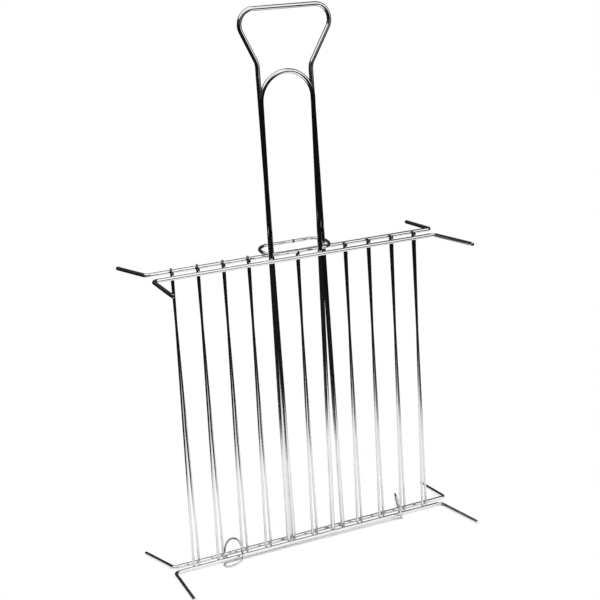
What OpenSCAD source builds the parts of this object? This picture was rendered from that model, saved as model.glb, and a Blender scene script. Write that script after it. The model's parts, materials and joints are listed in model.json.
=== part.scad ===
// Two-leaf wire grill grate on feet, with a long carrying handle.
// It stands upright on the feet of its two lower cross-wires.
// X is across the rods, Y is the depth (front leaf at -Y), Z is up.

/* [Grate leaves] */
// Spacing of the rods
rod_pitch = 25; // [18:0.5:32]
// Wire diameter of the rods
rod_d = 2.3; // [2:0.1:3]
// Outward lean of each back rod against its neighbour, in degrees
back_rod_fan = 0.065; // [0:0.005:0.1]
// Lean of all back rods to the right, in degrees
back_rod_roll = 0.1; // [-0.1:0.05:0.2]
// Wire diameter of the cross-wires and their feet
cross_d = 3.7; // [3:0.1:5]
// Distance between the two cross-wires of a leaf
leaf_h = 277; // [200:1:340]
// Half width of the back leaf, at the corners of its cross-wires
back_half_w = 149.2; // [140:0.2:165]
// Half width of the front leaf, at the corners of its cross-wires
front_half_w = 145; // [138:0.2:160]
// How far the front rods stand above their upper cross-wire
rod_over_top = 5; // [3:0.5:10]
// How far the back rods left of the middle stand above their upper cross-wire
back_rod_over_left = 3.6; // [2:0.1:10]
// How far the other back rods stand above their upper cross-wire
back_rod_over_right = 2; // [2:0.1:10]
// How far the back rods stand below their lower cross-wire
back_rod_under = 4; // [1.5:0.1:4]
// How far the front rods stand below their lower cross-wire
front_rod_under = 1.7; // [1:0.1:2.4]
// How deep a welded wire sits in the other one
weld_in = 0.3; // [0.1:0.05:0.6]

/* [Stance] */
// Distance between the two lower cross-wires
hinge_gap = 11.4; // [10:0.1:16]
// Height of the front lower cross-wire above the ground
front_foot_h = 4.8; // [4.8:0.1:8]
// Height of the back lower cross-wire above the ground
back_foot_h = 5.1; // [5.1:0.1:8]
// Lean of the back leaf away from the front one, in degrees
back_lean = 1.2; // [0:0.1:3]
// Lean of the front leaf away from the back one, in degrees
front_lean = 1.7; // [1:0.1:3]
// Sideways shift of the front leaf, so that its rods pass beside the back ones
front_shift = -8; // [-8.5:0.1:-7]

/* [Feet] */
// Length of a back foot from its corner
back_foot_l = 55.3; // [40:0.1:70]
// Length of a front foot from its corner
front_foot_l = 58; // [40:0.1:70]
// Outward splay of the back feet, in degrees
back_splay = 6.6; // [0:0.1:12]
// Outward splay of the front feet, in degrees
front_splay = 5.6; // [0:0.1:12]
// Bend radius where a cross-wire turns into its foot
foot_bend_r = 5; // [4:0.5:9]

/* [Handles] */
// Wire diameter of both handles
handle_d = 4.3; // [3.8:0.1:5]
// Side position of the long handle's left leg
long_leg_l = -25.9; // [-27:0.1:-25]
// Side position of the long handle's right leg
long_leg_r = 28.1; // [27:0.1:29]
// Height of the left neck bend above the lower cross-wire
neck_l = 452.5; // [440:0.5:470]
// Height of the right neck bend above the lower cross-wire
neck_r = 447.5; // [440:0.5:470]
// Outward angle of the grip's left flank, in degrees
flare_l = 25; // [15:1:35]
// Outward angle of the grip's right flank, in degrees
flare_r = 32; // [15:1:38]
// Height of the grip's top bar above the lower cross-wire
grip_top = 501.2; // [490:0.1:530]
// Corner radius of the grip loop
grip_r = 14; // [10:1:16]
// Bend radius at the neck
neck_bend_r = 14; // [8:1:20]
// Side position of the foot of the short handle's left leg, on the front leaf
short_leg_l = -25.2; // [-26:0.1:-24.6]
// Outward lean of the short handle's left leg, in degrees
short_lean = 0.5; // [0:0.1:0.6]
// Side position of the short handle's right leg, on the front leaf
short_leg_r = 23; // [22:0.1:24]
// Height of the short handle's arch above the lower cross-wire
arch_top = 446.4; // [400:0.1:447]

/* [Lock ring] */
// Wire diameter of the lock ring
ring_d = 3; // [2.4:0.1:3.4]
// Width of the lock ring, on the wire's centre
ring_w = 69; // [66:0.5:74]
// Depth of the lock ring, on the wire's centre
ring_depth = 27; // [27:0.5:31]
// Corner radius of the lock ring
ring_r = 12.5; // [8:0.5:13]
// Tilt of the ring, its front strand lower, in degrees
ring_tilt = 11; // [4:0.5:12]

/* [Hinge wire] */
// Wire diameter of the hinge wire
hinge_d = 2; // [1.6:0.1:2]
// Radius of the round top of the left hinge ring, on the wire's centre
hinge_ring_l_r = 11.5; // [11.2:0.1:11.8]
// Radius of the round top of the right hinge ring, on the wire's centre
hinge_ring_r_r = 13; // [12:0.1:13.5]
// Bend radius of the lower corners of each hinge ring
hinge_corner_r = 4; // [3.6:0.1:4.6]
// Side position of the left hinge ring
hinge_l = -90.8; // [-91.2:0.1:-90.6]
// Side position of the right hinge ring
hinge_r = 91; // [90.6:0.1:91.3]
// Play between the hinge wire's straight run and the front cross-wire
hinge_play = 0.5; // [0.4:0.05:0.6]

/* [Hidden] */
$fn = 48;

cross_rad = cross_d / 2;
rod_off = cross_rad + rod_d / 2 - weld_in;
handle_off = cross_rad + handle_d / 2 - weld_in;
// fall of a lower foot from its corner down to the ground
back_fall = asin((back_foot_h - cross_rad) / (back_foot_l * cos(back_splay)));
front_fall = asin((front_foot_h - cross_rad) / (front_foot_l * cos(front_splay)));
// the two halves of the object's plan size, which centre it on its origin
x_lo = front_shift - front_half_w - front_foot_l * sin(front_splay) - cross_rad * cos(front_splay);
x_hi = back_half_w + back_foot_l * sin(back_splay) + cross_rad * cos(back_splay);
y_lo = -hinge_gap / 2 - leaf_h * sin(front_lean) - front_foot_l * cos(front_splay) * cos(front_lean)
       - cross_rad * sqrt(1 - pow(cos(front_splay) * cos(front_lean), 2));
y_hi = hinge_gap / 2 + leaf_h * sin(back_lean) + back_foot_l * cos(back_splay) * cos(back_lean)
       + cross_rad * sqrt(1 - pow(cos(back_splay) * cos(back_lean), 2));
centre = [-(x_lo + x_hi) / 2, -(y_lo + y_hi) / 2, 0];

// ---- bent wire in the XY plane, laid from its first end along +X ----
// steps of a wire: [length of the straight, turn after it in degrees, bend radius]
// the bends are a hair thinner than the straights, which reach a little way into them
lap = 0.2;
thinner = 0.04;
module lay(s, d, i = 0, side = 1, closed = false) {
    l = s[i][0];
    t = s[i][1] * side;
    r = s[i][2];
    back = (i > 0 || closed) ? lap : 0;
    translate([-back, 0, 0]) rotate([0, 90, 0]) cylinder(h = back + l + (t != 0 ? lap : 0), d = d);
    if (t != 0) translate([l, 0, 0]) mirror([0, t < 0 ? 1 : 0, 0]) {
        translate([0, r, 0]) rotate([0, 0, -90])
            rotate_extrude(angle = abs(t)) translate([r, 0]) circle(d = d - thinner);
        if (i < len(s) - 1)
            translate([0, r, 0]) rotate([0, 0, abs(t)]) translate([0, -r, 0])
                lay(s, d, i + 1, t < 0 ? -side : side);
    }
}
// ---- where the two leaves stand ----
module back_leaf() {
    translate(centre) translate([0, hinge_gap / 2, back_foot_h]) rotate([-back_lean, 0, 0]) children();
}
module front_leaf() {
    translate(centre) translate([front_shift, -hinge_gap / 2, front_foot_h]) rotate([front_lean, 0, 0]) children();
}

// a cross-wire with both ends bent into feet, feet towards +Y
module cross_wire(half_w, foot_l, splay) {
    c = foot_bend_r * tan((90 - splay) / 2);
    translate([-half_w - foot_l * sin(splay), foot_l * cos(splay), 0]) rotate([0, 0, splay - 90])
        lay([[foot_l - c, 90 - splay, foot_bend_r], [2 * half_w - 2 * c, 90 - splay, foot_bend_r],
             [foot_l - c, 0, 0]], cross_d);
}

module back_rod(i) {
    over = i < 5 ? back_rod_over_left : back_rod_over_right;
    color("gainsboro") back_leaf()
        translate([(i - 6) * rod_pitch, -rod_off, -back_rod_under])
            rotate([0, back_rod_roll + (i - 6) * back_rod_fan, 0])
                cylinder(h = leaf_h + back_rod_under + over, d = rod_d);
}
module front_rod(i) {
    color("gainsboro") front_leaf()
        translate([(i - 6) * rod_pitch, rod_off, -front_rod_under])
            cylinder(h = leaf_h + front_rod_under + rod_over_top, d = rod_d);
}
module back_upper_crosswire() {
    color("silver") back_leaf() translate([0, 0, leaf_h])
        cross_wire(back_half_w, back_foot_l, back_splay);
}
module back_lower_crosswire() {
    color("silver") translate(centre) translate([0, hinge_gap / 2, back_foot_h])
        rotate([-back_fall, 0, 0]) cross_wire(back_half_w, back_foot_l, back_splay);
}
module front_upper_crosswire() {
    color("silver") front_leaf() translate([0, 0, leaf_h]) mirror([0, 1, 0])
        cross_wire(front_half_w, front_foot_l, front_splay);
}
module front_lower_crosswire() {
    color("silver") translate(centre) translate([front_shift, -hinge_gap / 2, front_foot_h])
        rotate([front_fall, 0, 0]) mirror([0, 1, 0]) cross_wire(front_half_w, front_foot_l, front_splay);
}

// one wire: up the left leg, round the flared grip loop, down the right leg
module long_handle() {
    nl = neck_bend_r * tan(flare_l / 2);
    nr = neck_bend_r * tan(flare_r / 2);
    gl = grip_r * tan((90 + flare_l) / 2);
    gr = grip_r * tan((90 + flare_r) / 2);
    bar = long_leg_r - long_leg_l + (grip_top - neck_l) * tan(flare_l) + (grip_top - neck_r) * tan(flare_r);
    color("dimgray") back_leaf() translate([long_leg_l, -handle_off, -back_rod_under])
        rotate([90, 0, 0]) rotate([0, 0, 90])
            lay([[neck_l + back_rod_under - nl, flare_l, neck_bend_r],
                 [(grip_top - neck_l) / cos(flare_l) - nl - gl, -90 - flare_l, grip_r],
                 [bar - gl - gr, -90 - flare_r, grip_r],
                 [(grip_top - neck_r) / cos(flare_r) - nr - gr, flare_r, neck_bend_r],
                 [neck_r + back_rod_under - nr, 0, 0]], handle_d);
}

// one wire: up the left leg, which leans out a little, over a round arch, down the right leg
module short_handle() {
    s = short_lean;
    k = (1 + sin(s)) / (1 + cos(s));
    up = (arch_top + front_rod_under - (short_leg_r - short_leg_l) * k) / (cos(s) + k * sin(s));
    ar = (short_leg_r - short_leg_l + up * sin(s)) / (1 + cos(s));
    color("dimgray") front_leaf() translate([short_leg_l, handle_off, -front_rod_under])
        rotate([90, 0, 0]) rotate([0, 0, 90 + s])
            lay([[up, -90 - s, ar], [0, -90, ar], [up * cos(s) + ar * sin(s), 0, 0]], handle_d);
}

// closed flattened loop, at the foot of the long handle's free legs
ring_mid_x = (long_leg_l + long_leg_r) / 2;
// the ring lies on the back upper cross-wire with this play
ring_rest = cross_rad + ring_d / 2 + 0.35;
// depth of the front strand, in front of the long handle's legs, in the back leaf's frame
ring_front = -handle_off - handle_d / 2 - ring_d / 2 - 3.6;
module lock_ring() {
    w = ring_w / 2 - ring_r;
    h = ring_depth - 2 * ring_r;
    color("silver") back_leaf()
        translate([ring_mid_x, 0, leaf_h + ring_rest / cos(ring_tilt)])
            rotate([ring_tilt, 0, 0]) translate([-w, ring_front / cos(ring_tilt), 0])
                lay([[2 * w, 90, ring_r], [h, 90, ring_r], [2 * w, 90, ring_r], [h, 90, ring_r]],
                    ring_d, closed = true);
}

// one hinge ring in its own plane: flat bottom and round top of radius r, its origin at the
// middle of the flat
hinge_a = 53.13;
module hinge_ring(r) {
    flat = (r - hinge_corner_r) * sin(hinge_a);
    translate([-flat, 0, 0])
        lay([[2 * flat, hinge_a, hinge_corner_r], [0, 180 - hinge_a, r],
             [0, 180 - hinge_a, r], [0, hinge_a, hinge_corner_r]], hinge_d, closed = true);
}
// stands the ring across the cross-wires with its flat bottom low, then leans and yaws it
module hinge_ring_at(x, r, lean, yaw) {
    up = hinge_corner_r + (r - hinge_corner_r) * cos(hinge_a);
    translate([x, 0, hinge_d / 2 + 0.1 + up * cos(lean)])
        rotate([0, 0, yaw]) rotate([0, lean, 0]) translate([0, 0, -up])
            rotate([0, 0, 90]) rotate([90, 0, 0]) hinge_ring(r);
}
// the straight run passes under the front lower cross-wire, from behind it on the left
// to before it on the right
run_low_l = 112;
run_low_r = 66;
run_r = (cross_rad + hinge_d / 2 + hinge_play) / cos((run_low_l - run_low_r) / 2);
function run_end(x, low) = [x, -hinge_gap / 2 - run_r * cos(low), front_foot_h - run_r * sin(low)];
module hinge_wire() {
    a = run_end(hinge_l - 4, run_low_l);
    b = run_end(hinge_r + 2, run_low_r);
    v = b - a;
    color("silver") translate(centre) {
        hinge_ring_at(hinge_l, hinge_ring_l_r, 19, 18);
        hinge_ring_at(hinge_r, hinge_ring_r_r, -11, -22);
        translate(a) rotate([0, 0, atan2(v[1], v[0])]) rotate([0, 90 - asin(v[2] / norm(v)), 0])
            cylinder(h = norm(v), d = hinge_d);
    }
}

back_rod(1);  // back_rod_1
back_rod(2);  // back_rod_2
back_rod(3);  // back_rod_3
back_rod(4);  // back_rod_4
back_rod(6);  // back_rod_6
back_rod(8);  // back_rod_8
back_rod(9);  // back_rod_9
back_rod(10);  // back_rod_10
back_rod(11);  // back_rod_11
back_upper_crosswire();
back_lower_crosswire();
long_handle();
front_rod(1);  // front_rod_1
front_rod(2);  // front_rod_2
front_rod(3);  // front_rod_3
front_rod(4);  // front_rod_4
front_rod(6);  // front_rod_6
front_rod(8);  // front_rod_8
front_rod(9);  // front_rod_9
front_rod(10);  // front_rod_10
front_rod(11);  // front_rod_11
front_upper_crosswire();
front_lower_crosswire();
short_handle();
lock_ring();
hinge_wire();
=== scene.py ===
import bpy, bmesh, json, math, random
import numpy as np
from mathutils import Matrix, Vector


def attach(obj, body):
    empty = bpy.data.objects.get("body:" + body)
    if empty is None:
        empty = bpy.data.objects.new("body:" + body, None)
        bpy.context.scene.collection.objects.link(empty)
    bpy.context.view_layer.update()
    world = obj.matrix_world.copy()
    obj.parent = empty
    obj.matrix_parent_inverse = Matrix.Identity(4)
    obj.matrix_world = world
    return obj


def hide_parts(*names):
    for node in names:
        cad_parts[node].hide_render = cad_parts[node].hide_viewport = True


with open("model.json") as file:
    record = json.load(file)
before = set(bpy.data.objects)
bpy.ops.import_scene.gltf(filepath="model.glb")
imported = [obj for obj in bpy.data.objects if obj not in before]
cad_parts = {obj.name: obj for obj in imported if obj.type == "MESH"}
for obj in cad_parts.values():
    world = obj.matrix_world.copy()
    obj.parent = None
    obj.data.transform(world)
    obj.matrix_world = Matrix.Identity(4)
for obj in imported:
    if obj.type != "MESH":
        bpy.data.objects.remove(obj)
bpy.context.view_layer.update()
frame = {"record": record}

D = math.radians


# ---------------------------------------------------------------- wires as the frame has them (mm)
def rx(a):
    c, s = math.cos(D(a)), math.sin(D(a))
    return np.array([[1, 0, 0], [0, c, -s], [0, s, c]])


def ry(a):
    c, s = math.cos(D(a)), math.sin(D(a))
    return np.array([[c, 0, s], [0, 1, 0], [-s, 0, c]])


def rz(a):
    c, s = math.cos(D(a)), math.sin(D(a))
    return np.array([[c, -s, 0], [s, c, 0], [0, 0, 1]])


def tn(a):
    return math.tan(D(a))


PITCH, ROD_D, CROSS_D, HANDLE_D, RING_D, HINGE_D = 25.0, 2.3, 3.7, 4.3, 3.0, 2.0
FAN, ROLL_R = 0.065, 0.1
LEAF, B_HALF, F_HALF, OVER, B_UNDER, F_UNDER, WELD = 277.0, 149.2, 145.0, 5.0, 4.0, 1.7, 0.3
GAP, F_Z, B_Z, B_LEAN, F_LEAN, F_X = 11.4, 4.8, 5.1, 1.2, 1.7, -8.0
B_FOOT, F_FOOT, B_SPLAY, F_SPLAY, FOOT_R = 55.3, 58.0, 6.6, 5.6, 5.0
CR = CROSS_D / 2
ROD_OFF = CR + ROD_D / 2 - WELD
HANDLE_OFF = CR + HANDLE_D / 2 - WELD
B_FALL = math.degrees(math.asin((B_Z - CR) / (B_FOOT * math.cos(D(B_SPLAY)))))
F_FALL = math.degrees(math.asin((F_Z - CR) / (F_FOOT * math.cos(D(F_SPLAY)))))
XLO = F_X - F_HALF - F_FOOT * math.sin(D(F_SPLAY)) - CR * math.cos(D(F_SPLAY))
XHI = B_HALF + B_FOOT * math.sin(D(B_SPLAY)) + CR * math.cos(D(B_SPLAY))
YLO = (-GAP / 2 - LEAF * math.sin(D(F_LEAN)) - F_FOOT * math.cos(D(F_SPLAY)) * math.cos(D(F_LEAN))
       - CR * math.sqrt(1 - (math.cos(D(F_SPLAY)) * math.cos(D(F_LEAN))) ** 2))
YHI = (GAP / 2 + LEAF * math.sin(D(B_LEAN)) + B_FOOT * math.cos(D(B_SPLAY)) * math.cos(D(B_LEAN))
       + CR * math.sqrt(1 - (math.cos(D(B_SPLAY)) * math.cos(D(B_LEAN))) ** 2))
CEN = np.array([-(XLO + XHI) / 2, -(YLO + YHI) / 2, 0.0])


def back(p):
    return CEN + np.array([0, GAP / 2, B_Z]) + np.asarray(p, float) @ rx(-B_LEAN).T


def front(p):
    return CEN + np.array([F_X, -GAP / 2, F_Z]) + np.asarray(p, float) @ rx(F_LEAN).T


def lay(start, ang, steps, da=3.0, dl=12.0):
    """Planar path: straights of length l, each followed by a bend of t degrees at radius r."""
    p = np.array(start, float)
    h = D(ang)
    out = [p.copy()]
    for l, t, r in steps:
        n = max(1, int(l / dl))
        for k in range(1, n + 1):
            if l > 1e-6:
                out.append(p + l * k / n * np.array([math.cos(h), math.sin(h)]))
        p = p + l * np.array([math.cos(h), math.sin(h)])
        if t:
            s = 1 if t > 0 else -1
            n = max(2, int(abs(t) / da + .5))
            c = p + r * s * np.array([-math.sin(h), math.cos(h)])
            for k in range(1, n + 1):
                a = h + D(t) * k / n
                out.append(c + r * np.array([s * math.sin(a), -s * math.cos(a)]))
            p = out[-1].copy()
            h += D(t)
    o = np.array(out)
    return np.c_[o, np.zeros(len(o))]


def cross_path(hw, fl, sp):
    c = FOOT_R * tn((90 - sp) / 2)
    return lay((-hw - fl * math.sin(D(sp)), fl * math.cos(D(sp))), sp - 90,
               [(fl - c, 90 - sp, FOOT_R), (2 * hw - 2 * c, 90 - sp, FOOT_R), (fl - c, 0, 0)])


RODS = (1, 2, 3, 4, 6, 8, 9, 10, 11)
WIRES = {}
OVER_L, OVER_R = 3.6, 2.0  # the back rods left of the middle, and the others


def rod_at(i, s):
    """Point of a back rod at the length s from its lower end."""
    a = D(ROLL_R + (i - 6) * FAN)
    return [(i - 6) * PITCH + s * math.sin(a), -ROD_OFF, -B_UNDER + s * math.cos(a)]


def straight(a, b, n):
    t = np.linspace(0, 1, n)[:, None]
    return np.asarray(a, float) * (1 - t) + np.asarray(b, float) * t


for i in RODS:
    x = (i - 6) * PITCH
    WIRES["back_rod_%d" % i] = (back(straight([x, -ROD_OFF, -B_UNDER], rod_at(i, LEAF + (OVER_L if i < 5 else OVER_R) + B_UNDER), 24)), ROD_D / 2, False)
    WIRES["front_rod_%d" % i] = (front(straight([x, ROD_OFF, -F_UNDER], [x, ROD_OFF, LEAF + OVER], 24)), ROD_D / 2, False)
cb = cross_path(B_HALF, B_FOOT, B_SPLAY)
cf = cross_path(F_HALF, F_FOOT, F_SPLAY) * [1, -1, 1]
WIRES["back_upper_crosswire"] = (back(cb + [0, 0, LEAF]), CR, False)
WIRES["back_lower_crosswire"] = (CEN + np.array([0, GAP / 2, B_Z]) + cb @ rx(-B_FALL).T, CR, False)
WIRES["front_upper_crosswire"] = (front(cf + [0, 0, LEAF]), CR, False)
WIRES["front_lower_crosswire"] = (CEN + np.array([F_X, -GAP / 2, F_Z]) + cf @ rx(F_FALL).T, CR, False)

NECK_L, NECK_R, FL_L, FL_R, TOP, GRIP_R, NECK_B, LEG_L, LEG_R = 452.5, 447.5, 25.0, 32.0, 501.2, 14.0, 14.0, -25.9, 28.1
nl, nr = NECK_B * tn(FL_L / 2), NECK_B * tn(FL_R / 2)
gl, gr = GRIP_R * tn((90 + FL_L) / 2), GRIP_R * tn((90 + FL_R) / 2)
bar = LEG_R - LEG_L + (TOP - NECK_L) * tn(FL_L) + (TOP - NECK_R) * tn(FL_R)
q = lay((0, 0), 90, [(NECK_L + B_UNDER - nl, FL_L, NECK_B),
                     ((TOP - NECK_L) / math.cos(D(FL_L)) - nl - gl, -90 - FL_L, GRIP_R),
                     (bar - gl - gr, -90 - FL_R, GRIP_R),
                     ((TOP - NECK_R) / math.cos(D(FL_R)) - nr - gr, FL_R, NECK_B),
                     (NECK_R + B_UNDER - nr, 0, 0)])
WIRES["long_handle"] = (back(q @ rx(90).T + [LEG_L, -HANDLE_OFF, -B_UNDER]), HANDLE_D / 2, False)
SL, SR, ARCH, S_LEAN = -25.2, 23.0, 446.4, 0.5
sn, cs = math.sin(D(S_LEAN)), math.cos(D(S_LEAN))
kk = (1 + sn) / (1 + cs)
leg = (ARCH + F_UNDER - (SR - SL) * kk) / (cs + kk * sn)
ar = (SR - SL + leg * sn) / (1 + cs)
q = lay((0, 0), 90 + S_LEAN, [(leg, -90 - S_LEAN, ar), (0, -90, ar), (leg * cs + ar * sn, 0, 0)])
WIRES["short_handle"] = (front(q @ rx(90).T + [SL, HANDLE_OFF, -F_UNDER]), HANDLE_D / 2, False)

RING_W, RING_DEPTH, RING_R, RING_TILT = 69.0, 27.0, 12.5, 11.0
rest = CR + RING_D / 2 + 0.35
rf = -HANDLE_OFF - HANDLE_D / 2 - RING_D / 2 - 3.6
w, h, ct = RING_W / 2 - RING_R, RING_DEPTH - 2 * RING_R, math.cos(D(RING_TILT))
SEAM = 5.56  # where the ring's two ends were welded together, on its back strand
q = lay((SEAM, rf / ct + RING_DEPTH), 180, [(SEAM + w, 90, RING_R), (h, 90, RING_R), (2 * w, 90, RING_R), (h, 90, RING_R),
                                            (w - SEAM, 0, 0)])
WIRES["lock_ring"] = (back(q[:-1] @ rx(RING_TILT).T + [(LEG_L + LEG_R) / 2, 0, LEAF + rest / ct]), RING_D / 2, True)


# ---------------------------------------------------------------- the hinge wire: one bent wire with two cut ends
H_C, H_L, H_RX, H_PLAY, LOW_L, LOW_R = 4.0, -90.8, 91.0, 0.5, 112.0, 66.0
ha = 53.13
run_r = (CR + HINGE_D / 2 + H_PLAY) / math.cos(D((LOW_L - LOW_R) / 2))


def run_end(x, low):
    return CEN + np.array([x, -GAP / 2 - run_r * math.cos(D(low)), F_Z - run_r * math.sin(D(low))])


def hinge_ring(x, r, lean, yaw):
    hf = (r - H_C) * math.sin(D(ha))
    hu = H_C + (r - H_C) * math.cos(D(ha))
    q = lay((-hf, 0), 0, [(2 * hf, ha, H_C), (0, 180 - ha, r), (0, 180 - ha, r), (0, ha, H_C)], dl=3.0)
    q = q @ rx(90).T @ rz(90).T
    return CEN + np.array([x, 0, HINGE_D / 2 + .1 + hu * math.cos(D(lean))]) + ((q - [0, 0, hu]) @ ry(lean).T) @ rz(yaw).T


def smooth(pts, n=3):
    """Corner cutting that keeps both ends."""
    for _ in range(n):
        a, b = pts[:-1], pts[1:]
        m = np.empty((2 * len(a), 3))
        m[0::2] = a * .75 + b * .25
        m[1::2] = a * .25 + b * .75
        pts = np.vstack([pts[:1], m, pts[-1:]])
    return pts


r1, r2 = hinge_ring(H_L, 11.5, 19, 18), hinge_ring(H_RX, 13.0, -11, -22)
run_a, run_b = run_end(H_L - 4, LOW_L), run_end(H_RX + 2, LOW_R)
# The left ring starts with its cut end under the cross-wires, goes back, up, over and down in front, and turns
# through a flat hairpin into the run. The run turns up into the right ring, which ends under the cross-wires.
hairpin = CEN + np.array([(-86.5, -11.2, 8.0), (-86.6, -11.5, 5.6), (-87.7, -11.9, 3.4), (-90.2, -12.2, 1.9),
                          (-94.2, -12.8, 1.15), (-98.6, -13.8, 1.1), (-102.2, -13.9, 1.1), (-104.4, -12.2, 1.1),
                          (-105.0, -9.4, 1.15), (-104.2, -6.9, 1.25), (-102.0, -5.2, 1.35), (-98.5, -4.5, 1.42)])
along = run_b - run_a
path = np.vstack([[CEN + [-93.2, -1.9, 1.1]], r1[2:88], hairpin, run_a + along * np.linspace(0, .953, 20)[:, None],
                  [CEN + [87.0, -7.5, 1.42]], r2[1:-9][::-1]])
WIRES["hinge_wire"] = (smooth(path, 2), HINGE_D / 2, False)


# ---------------------------------------------------------------- mesh of a swept wire
def sweep(pts, rad, closed, sides=28, chamfer=0.28, seed=0):
    """Vertices, faces and (along, around) coordinates of a round wire, with cut ends."""
    pts = np.asarray(pts, float)
    keep = [0] + [k for k in range(1, len(pts)) if np.linalg.norm(pts[k] - pts[k - 1]) > 1e-4]
    pts = pts[keep]
    n = len(pts)
    if closed:
        tan = np.roll(pts, -1, 0) - np.roll(pts, 1, 0)
    else:
        tan = np.vstack([pts[1] - pts[0], pts[2:] - pts[:-2], pts[-1] - pts[-2]])
    tan /= np.linalg.norm(tan, axis=1)[:, None]
    ref = np.array([0, 0, 1.0]) if abs(tan[0][2]) < .9 else np.array([0, 1.0, 0])
    u = np.cross(tan[0], ref)
    u /= np.linalg.norm(u)
    frames = []
    for k in range(n):
        u = u - tan[k] * np.dot(u, tan[k])
        u /= np.linalg.norm(u)
        frames.append((u.copy(), np.cross(tan[k], u)))
    if closed:
        # spread the twist that is left over the loop
        e = frames[0][0]
        uu, vv = frames[-1]
        end = math.atan2(np.dot(e, vv), np.dot(e, uu))
        frames = [(math.cos(end * k / n) * a + math.sin(end * k / n) * b,
                   -math.sin(end * k / n) * a + math.cos(end * k / n) * b) for k, (a, b) in enumerate(frames)]
    rings = []
    run = np.r_[0, np.cumsum(np.linalg.norm(np.diff(pts, axis=0), axis=1))]
    ang = np.arange(sides) * 2 * math.pi / sides
    ca, sa = np.cos(ang)[:, None], np.sin(ang)[:, None]
    for k in range(n):
        uu, vv = frames[k]
        rings.append((pts[k], uu, vv, rad, run[k], tan[k]))
    if not closed:
        f, l = rings[0], rings[-1]
        c = chamfer
        first = [(f[0], f[1], f[2], rad - c, 0, f[5]), (f[0] + f[5] * c * .35, f[1], f[2], rad - c * .3, c * .35, f[5]),
                 (f[0] + f[5] * c, f[1], f[2], rad, c, f[5]), (f[0] + f[5] * (c + .12), f[1], f[2], rad, c + .12, f[5])]
        last = [(l[0] - l[5] * (c + .12), l[1], l[2], rad, l[4] - c - .12, l[5]), (l[0] - l[5] * c, l[1], l[2], rad, l[4] - c, l[5]),
                (l[0] - l[5] * c * .35, l[1], l[2], rad - c * .3, l[4] - c * .35, l[5]), (l[0], l[1], l[2], rad - c, l[4], l[5])]
        rings = first + rings[1:-1] + last
    V, A = [], []
    for p, uu, vv, r, s, _ in rings:
        V.append(p + r * (ca * uu + sa * vv))
        A.append(np.c_[np.full(sides, s), ang])
    V, A = np.vstack(V), np.vstack(A)
    F = []
    m = len(rings)
    for k in range(m if closed else m - 1):
        a, b = k * sides, ((k + 1) % m) * sides
        for j in range(sides):
            j2 = (j + 1) % sides
            F.append((a + j, a + j2, b + j2, b + j))
    if not closed:
        F.append(tuple(range(sides))[::-1])
        F.append(tuple((m - 1) * sides + j for j in range(sides)))
    return V, F, A


def make(name, parts, mat, body, nodes=()):
    """One object from several (V, F, A) shells, in mm."""
    V, F, A, off = [], [], [], 0
    for v, f, a in parts:
        V.append(v)
        A.append(a)
        F += [tuple(i + off for i in t) for t in f]
        off += len(v)
    V, A = np.vstack(V) / 1000.0, np.vstack(A)
    me = bpy.data.meshes.new(name)
    me.from_pydata(V.tolist(), [], F)
    uv = me.uv_layers.new(name="wire")
    for lp in me.loops:
        a = A[lp.vertex_index]
        uv.data[lp.index].uv = (a[0] / 1000.0, a[1] / (2 * math.pi))
    # the seam: the last quad of each ring wraps to 1
    for p in me.polygons:
        us = [uv.data[i].uv for i in p.loop_indices]
        if len(us) == 4 and max(c[1] for c in us) - min(c[1] for c in us) > .5:
            for c in us:
                if c[1] < .25:
                    c[1] += 1.0
    bm = bmesh.new()
    bm.from_mesh(me)
    bmesh.ops.recalc_face_normals(bm, faces=bm.faces)
    bm.to_mesh(me)
    bm.free()
    me.polygons.foreach_set("use_smooth", [True] * len(me.polygons))
    me.set_sharp_from_angle(angle=D(38))
    me.materials.append(mat)
    o = bpy.data.objects.new(name, me)
    bpy.context.scene.collection.objects.link(o)
    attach(o, body)
    if nodes:
        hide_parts(*nodes)
    return o


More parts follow.
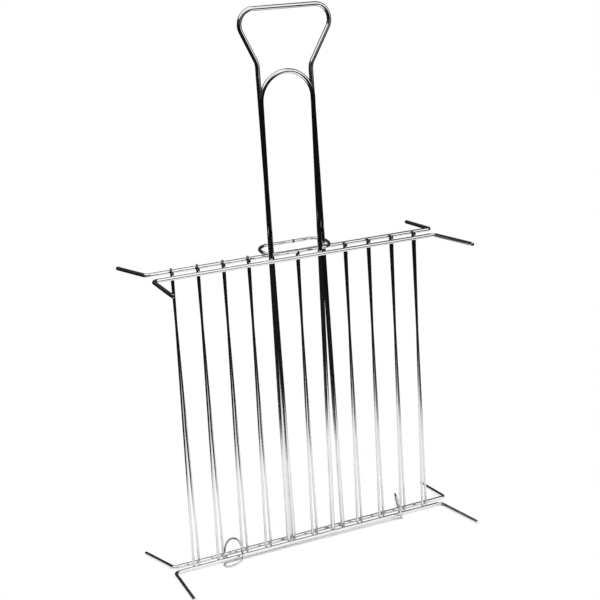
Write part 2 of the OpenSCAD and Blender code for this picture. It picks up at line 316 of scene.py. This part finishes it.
# ---------------------------------------------------------------- chromed steel
def chrome(name, tint, rough, wave):
    m = bpy.data.materials.new(name)
    m.use_nodes = True
    nt = m.node_tree
    nt.nodes.clear()
    N = nt.nodes.new
    L = nt.links.new
    out = N("ShaderNodeOutputMaterial")
    b = N("ShaderNodeBsdfPrincipled")
    L(b.outputs[0], out.inputs[0])
    b.inputs["Metallic"].default_value = 1.0
    uv = N("ShaderNodeUVMap")
    uv.uv_map = "wire"
    tc = N("ShaderNodeTexCoord")
    # drawing lines along the wire: fast round it, slow along it
    mp = N("ShaderNodeMapping")
    mp.inputs["Scale"].default_value = (38.0, 26.0, 1.0)
    L(uv.outputs[0], mp.inputs[0])
    lines = N("ShaderNodeTexNoise")
    lines.inputs["Scale"].default_value = 1.0
    lines.inputs["Detail"].default_value = 3.0
    L(mp.outputs[0], lines.inputs["Vector"])
    # slow clouds of the plating
    cloud = N("ShaderNodeTexNoise")
    cloud.inputs["Scale"].default_value = 55.0
    cloud.inputs["Detail"].default_value = 4.0
    L(tc.outputs["Object"], cloud.inputs["Vector"])
    # fine pits and dust
    pit = N("ShaderNodeTexNoise")
    pit.inputs["Scale"].default_value = 900.0
    pit.inputs["Detail"].default_value = 2.0
    L(tc.outputs["Object"], pit.inputs["Vector"])
    ramp = N("ShaderNodeValToRGB")
    ramp.color_ramp.elements[0].position = .35
    ramp.color_ramp.elements[0].color = (tint[0] * .93, tint[1] * .93, tint[2] * .95, 1)
    ramp.color_ramp.elements[1].position = .7
    ramp.color_ramp.elements[1].color = (tint[0], tint[1], tint[2], 1)
    L(cloud.outputs[0], ramp.inputs[0])
    L(ramp.outputs[0], b.inputs["Base Color"])
    rr = N("ShaderNodeMapRange")
    rr.inputs["From Min"].default_value = .35
    rr.inputs["From Max"].default_value = .75
    rr.inputs["To Min"].default_value = rough * .7
    rr.inputs["To Max"].default_value = rough * 1.6
    mixf = N("ShaderNodeMath")
    mixf.operation = "ADD"
    half = N("ShaderNodeMath")
    half.operation = "MULTIPLY"
    half.inputs[1].default_value = .5
    L(lines.outputs[0], half.inputs[0])
    half2 = N("ShaderNodeMath")
    half2.operation = "MULTIPLY"
    half2.inputs[1].default_value = .5
    L(cloud.outputs[0], half2.inputs[0])
    L(half.outputs[0], mixf.inputs[0])
    L(half2.outputs[0], mixf.inputs[1])
    L(mixf.outputs[0], rr.inputs["Value"])
    L(rr.outputs[0], b.inputs["Roughness"])
    bp = N("ShaderNodeBump")
    bp.inputs["Strength"].default_value = wave
    bp.inputs["Distance"].default_value = .0002
    add = N("ShaderNodeMath")
    add.operation = "ADD"
    p2 = N("ShaderNodeMath")
    p2.operation = "MULTIPLY"
    p2.inputs[1].default_value = .12
    L(pit.outputs[0], p2.inputs[0])
    L(lines.outputs[0], add.inputs[0])
    L(p2.outputs[0], add.inputs[1])
    L(add.outputs[0], bp.inputs["Height"])
    L(bp.outputs[0], b.inputs["Normal"])
    return m


C_ROD = chrome("chrome_rod", (.76, .76, .77), .07, .10)
C_CROSS = chrome("chrome_cross", (.82, .82, .83), .07, .12)
C_HANDLE = chrome("chrome_handle", (.80, .80, .80), .06, .10)
C_RING = chrome("chrome_ring", (.82, .82, .82), .08, .14)
C_HINGE = chrome("chrome_hinge", (.74, .74, .74), .11, .16)
# the welds' near-black colour is painted shade: it darkens the beads to stand in for the shade in the crossings of the
# wires
C_WELD_SHADE = chrome("weld_painted_shade", (.14, .135, .13), .22, .5)

BODY = {}
for b, ns in frame["record"]["behaviour"]["bodies"].items():
    for n in ns:
        BODY[n] = b
MATS = {"rod": (C_ROD, "rod_wire"), "crosswire": (C_CROSS, "cross_wire"), "handle": (C_HANDLE, "handle_wire"),
        "lock": (C_RING, "ring_wire"), "hinge": (C_HINGE, "hinge_wire")}
for k, (name, (pts, rad, closed)) in enumerate(sorted(WIRES.items())):
    key = [t for t in ("crosswire", "handle", "lock", "hinge", "rod") if t in name][0]
    mat, sl = MATS[key]
    make("wire_" + name, [sweep(pts, rad, closed, sides=32 if rad > 2 else 24, seed=k)], mat, BODY[name], (name,))


# ---------------------------------------------------------------- welds: a small bead squeezed out at each crossing, coloured near-black as painted shade of the crossing
def bead(c, ax, side, r, rnd):
    """A low irregular bead, c its centre, ax along the cross-wire, side towards the rod."""
    ax = ax / np.linalg.norm(ax)
    side = side - ax * np.dot(side, ax)
    side /= np.linalg.norm(side)
    up = np.cross(ax, side)
    V, F, A = [c + side * r[2]], [], [(0, 0)]
    nu, nv = 14, 8
    ph = rnd.uniform(0, 6.28)
    for i in range(1, nv):
        t = math.pi * i / nv
        for j in range(nu):
            a = 2 * math.pi * j / nu
            k = 1 + .10 * math.sin(3 * a + ph) + .07 * math.sin(5 * a + 2 * ph)
            x, y, z = math.sin(t) * math.cos(a) * r[0] * k, math.sin(t) * math.sin(a) * r[1] * k, math.cos(t) * r[2]
            V.append(c + ax * x + up * y + side * z)
            A.append((0, a))
    V.append(c - side * r[2])
    A.append((0, 0))
    for i in range(nv - 2):
        for j in range(nu):
            a, b = 1 + i * nu, 1 + (i + 1) * nu
            F.append((a + j, a + (j + 1) % nu, b + (j + 1) % nu, b + j))
    last = len(V) - 1
    for j in range(nu):
        F.append((0, 1 + (j + 1) % nu, 1 + j))
        F.append((last, 1 + (nv - 2) * nu + j, 1 + (nv - 2) * nu + (j + 1) % nu))
    return np.array(V), F, np.array(A, float)


rnd = random.Random(7)
for leaf, place, off, sgn, body in (("back", back, ROD_OFF, -1, "back_leaf"), ("front", front, ROD_OFF, 1, "front_leaf")):
    shells = []
    for zz in (0.0, LEAF):
        for i in RODS:
            x = rod_at(i, zz + B_UNDER)[0] if leaf == "back" else (i - 6) * PITCH
            c = place([x, sgn * (CR - WELD / 2), zz])
            size = (rnd.uniform(1.35, 1.6), rnd.uniform(1.5, 1.75), rnd.uniform(.45, .55))
            shells.append(bead(c, np.array([1.0, 0, 0]), place([0, sgn, 0]) - place([0, 0, 0]), size, rnd))
        legs = (LEG_L, LEG_R) if leaf == "back" else (SL - (zz + F_UNDER) * tn(S_LEAN), SR)
        for x in legs:
            c = place([x, sgn * (CR - WELD / 2), zz])
            size = (rnd.uniform(2.1, 2.4), rnd.uniform(1.7, 1.9), rnd.uniform(.55, .65))
            shells.append(bead(c, np.array([1.0, 0, 0]), place([0, sgn, 0]) - place([0, 0, 0]), size, rnd))
    make("welds_" + leaf, shells, C_WELD_SHADE, body, ())
seam = bead(WIRES["lock_ring"][0][0], np.array([1.0, 0, 0]), back([0, 0, 1]) - back([0, 0, 0]), (1.6, 1.85, 1.85), rnd)
make("weld_ring", [seam], C_WELD_SHADE, BODY["lock_ring"], ())

# ---------------------------------------------------------------- floor
me = bpy.data.meshes.new("floor")
bm = bmesh.new()
bmesh.ops.create_circle(bm, cap_ends=True, radius=1.1, segments=96)
bm.to_mesh(me)
bm.free()
fl = bpy.data.objects.new("floor", me)
bpy.context.scene.collection.objects.link(fl)
fm = bpy.data.materials.new("floor_white")
fm.use_nodes = True
ft = fm.node_tree
pb = ft.nodes["Principled BSDF"]
nz = ft.nodes.new("ShaderNodeTexNoise")
nz.inputs["Scale"].default_value = 40.0
rp = ft.nodes.new("ShaderNodeValToRGB")
rp.color_ramp.elements[0].color = (.90, .90, .90, 1)
rp.color_ramp.elements[1].color = (.93, .93, .93, 1)
ft.links.new(nz.outputs[0], rp.inputs[0])
ft.links.new(rp.outputs[0], pb.inputs["Base Color"])
pb.inputs["Roughness"].default_value = .9
pb.inputs["Specular IOR Level"].default_value = .1
# the table top fades out into the backdrop at its edges
tc = ft.nodes.new("ShaderNodeTexCoord")
AZ0 = D(26.79)


def edge(vec, a0, a1):
    """1 inside, 0 beyond the edge, along one direction of the table."""
    dn = ft.nodes.new("ShaderNodeVectorMath")
    dn.operation = "DOT_PRODUCT"
    dn.inputs[1].default_value = vec
    ft.links.new(tc.outputs["Object"], dn.inputs[0])
    m_ = ft.nodes.new("ShaderNodeMapRange")
    m_.interpolation_type = "SMOOTHSTEP"
    m_.inputs["From Min"].default_value = a0
    m_.inputs["From Max"].default_value = a1
    m_.inputs["To Min"].default_value = 1.0
    m_.inputs["To Max"].default_value = 0.0
    ft.links.new(dn.outputs["Value"], m_.inputs["Value"])
    return m_.outputs[0]


F_ = (-math.sin(AZ0), -math.cos(AZ0), 0)
R_ = (math.cos(AZ0), -math.sin(AZ0), 0)
acc = None
S_ = tuple(.978 * a - .208 * b for a, b in zip(F_, R_))
for e_ in (edge(S_, .23, .34), edge([-c for c in F_], .24, .36), edge(R_, .32, .46), edge([-c for c in R_], .22, .34)):
    if acc is None:
        acc = e_
        continue
    mu = ft.nodes.new("ShaderNodeMath")
    mu.operation = "MULTIPLY"
    ft.links.new(acc, mu.inputs[0])
    ft.links.new(e_, mu.inputs[1])
    acc = mu.outputs[0]
# a faint rest of it reaches further
fd = ft.nodes.new("ShaderNodeMapRange")
fd.inputs["To Min"].default_value = .006
fd.inputs["To Max"].default_value = 1.0
ft.links.new(acc, fd.inputs["Value"])
ft.links.new(fd.outputs[0], pb.inputs["Alpha"])
me.materials.append(fm)
# the white table top merges with the white backdrop; it shows in the wires
fl.visible_camera = False

# ---------------------------------------------------------------- light
sc = bpy.context.scene
wd = bpy.data.worlds.new("studio")
sc.world = wd
wd.use_nodes = True
nt = wd.node_tree
nt.nodes.clear()
out = nt.nodes.new("ShaderNodeOutputWorld")
mix = nt.nodes.new("ShaderNodeMixShader")
lp = nt.nodes.new("ShaderNodeLightPath")
cam_bg = nt.nodes.new("ShaderNodeBackground")
cam_bg.inputs[0].default_value = (1, 1, 1, 1)
cam_bg.inputs[1].default_value = 1.0
env = nt.nodes.new("ShaderNodeBackground")
geo = nt.nodes.new("ShaderNodeTexCoord")
# a broad softbox overhead, everything else dark
dot = nt.nodes.new("ShaderNodeVectorMath")
dot.operation = "DOT_PRODUCT"
dot.inputs[1].default_value = (-.26, -.20, .945)
nt.links.new(geo.outputs["Generated"], dot.inputs[0])
cap = nt.nodes.new("ShaderNodeMapRange")
cap.interpolation_type = "SMOOTHSTEP"
cap.inputs["From Min"].default_value = .68
cap.inputs["From Max"].default_value = .80
cap.inputs["To Min"].default_value = .035
cap.inputs["To Max"].default_value = 1.15
nt.links.new(dot.outputs["Value"], cap.inputs["Value"])
# dark below the horizon, beyond the table
sep = nt.nodes.new("ShaderNodeSeparateXYZ")
nt.links.new(geo.outputs["Generated"], sep.inputs[0])
hz = nt.nodes.new("ShaderNodeMapRange")
hz.interpolation_type = "SMOOTHSTEP"
hz.inputs["From Min"].default_value = 0.0
hz.inputs["From Max"].default_value = .15
hz.inputs["To Min"].default_value = .012
hz.inputs["To Max"].default_value = 1.0
nt.links.new(sep.outputs["Z"], hz.inputs["Value"])
both = nt.nodes.new("ShaderNodeMath")
both.operation = "MULTIPLY"
nt.links.new(cap.outputs[0], both.inputs[0])
nt.links.new(hz.outputs[0], both.inputs[1])
# a white card in front on the right, above the table, and the weak light of the room
dot2 = nt.nodes.new("ShaderNodeVectorMath")
dot2.operation = "DOT_PRODUCT"
dot2.inputs[1].default_value = (.56, -.72, .41)
nt.links.new(geo.outputs["Generated"], dot2.inputs[0])
card = nt.nodes.new("ShaderNodeMapRange")
card.interpolation_type = "SMOOTHSTEP"
card.inputs["From Min"].default_value = .86
card.inputs["From Max"].default_value = .94
card.inputs["To Min"].default_value = .006
card.inputs["To Max"].default_value = 1.2
nt.links.new(dot2.outputs["Value"], card.inputs["Value"])
total = nt.nodes.new("ShaderNodeMath")
total.operation = "ADD"
nt.links.new(both.outputs[0], total.inputs[0])
nt.links.new(card.outputs[0], total.inputs[1])
env.inputs[0].default_value = (1, 1, 1, 1)
nt.links.new(total.outputs[0], env.inputs[1])
nt.links.new(lp.outputs["Is Camera Ray"], mix.inputs[0])
nt.links.new(env.outputs[0], mix.inputs[1])
nt.links.new(cam_bg.outputs[0], mix.inputs[2])
nt.links.new(mix.outputs[0], out.inputs[0])


def area(name, loc, target, size, power):
    l = bpy.data.lights.new(name, "AREA")
    l.shape = "SQUARE"
    l.size = size
    l.energy = power
    o = bpy.data.objects.new(name, l)
    o.location = loc
    o.rotation_euler = (Vector(target) - Vector(loc)).to_track_quat("-Z", "Y").to_euler()
    sc.collection.objects.link(o)
    return o


# lights the floor only: a mirror doesn't show it
fill = area("overhead", (0, -.1, 2.2), (0, 0, 0), 1.8, 34)
fill.visible_glossy = False

# ---------------------------------------------------------------- camera at the photograph's angle
AZ, EL, ROLL = 26.79, 13.41, -3.66
TX, TY, TZ = 18.13, -230.38, 1408.01
d = np.array([-math.sin(D(AZ)) * math.cos(D(EL)), -math.cos(D(AZ)) * math.cos(D(EL)), math.sin(D(EL))])
fwd = -d
right = np.cross(fwd, [0, 0, 1.0])
right /= np.linalg.norm(right)
up = np.cross(right, fwd)
cr_, sr_ = math.cos(D(ROLL)), math.sin(D(ROLL))
r_2, u_2 = cr_ * right + sr_ * up, -sr_ * right + cr_ * up
pos = -(TX * r_2 + TY * u_2 + TZ * fwd) + CEN
cam = bpy.data.cameras.new("camera")
cam.sensor_width = 36.0
cam.lens = 36.0 * 1450.96 / 600.0
cam.clip_start, cam.clip_end = .05, 20.0
co = bpy.data.objects.new("camera", cam)
M = Matrix.Identity(4)
for r_ in range(3):
    M[r_][0], M[r_][1], M[r_][2], M[r_][3] = r_2[r_], u_2[r_], d[r_], pos[r_] / 1000.0
co.matrix_world = M
sc.collection.objects.link(co)
sc.camera = co
sc.view_settings.view_transform = "Standard"
sc.view_settings.look = "None"
